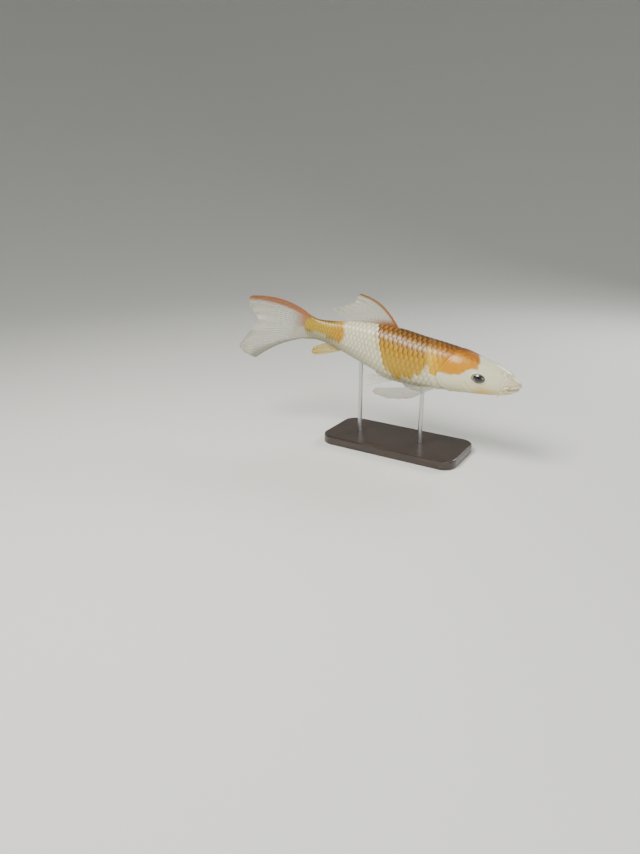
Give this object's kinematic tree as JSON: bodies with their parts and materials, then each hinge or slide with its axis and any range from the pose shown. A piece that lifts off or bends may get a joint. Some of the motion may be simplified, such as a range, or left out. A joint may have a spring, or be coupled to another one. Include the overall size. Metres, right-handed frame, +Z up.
{
  "type": "koi carp display model",
  "caption": "Life-size swimming koi carp with white skin and golden-orange patches, held nose-down by slim rods on a flat base.",
  "frame": {"origin": "centre of the bounding box in plan, at the underside of the stand's base", "axes": "+X towards the fish's head along its length, +Y towards its left side, +Z up"},
  "size_m": [0.3826, 0.093, 0.2007],
  "materials": {
    "skin_white": "satin, creamy white skin",
    "skin_gold": "satin, golden-orange skin",
    "fin_clear": "thin pale fin",
    "fin_gold": "thin orange-brown fin",
    "eye": "glossy dark eye",
    "base_wood": "dark stained wood, satin",
    "rod_steel": "brushed"
  },
  "bodies": {
    "root": {"head": "skin_white", "lower_jaw": "skin_white", "gill_cover_left": "skin_white", "gill_cover_right": "skin_white", "trunk": "skin_gold", "tail_stem": "skin_gold", "dorsal_fin": "fin_gold", "anal_fin": "fin_gold", "caudal_fin": "fin_clear", "pectoral_fin_left": "fin_clear", "pectoral_fin_right": "fin_clear", "pelvic_fin_left": "fin_clear", "pelvic_fin_right": "fin_clear", "eye_left": "eye", "eye_right": "eye", "barbel_rear_left": "skin_white", "barbel_rear_right": "skin_white", "barbel_front_left": "skin_white", "barbel_front_right": "skin_white", "stand_base": "base_wood", "stand_rod_front": "rod_steel", "stand_rod_rear": "rod_steel"}
  },
  "joints": []
}
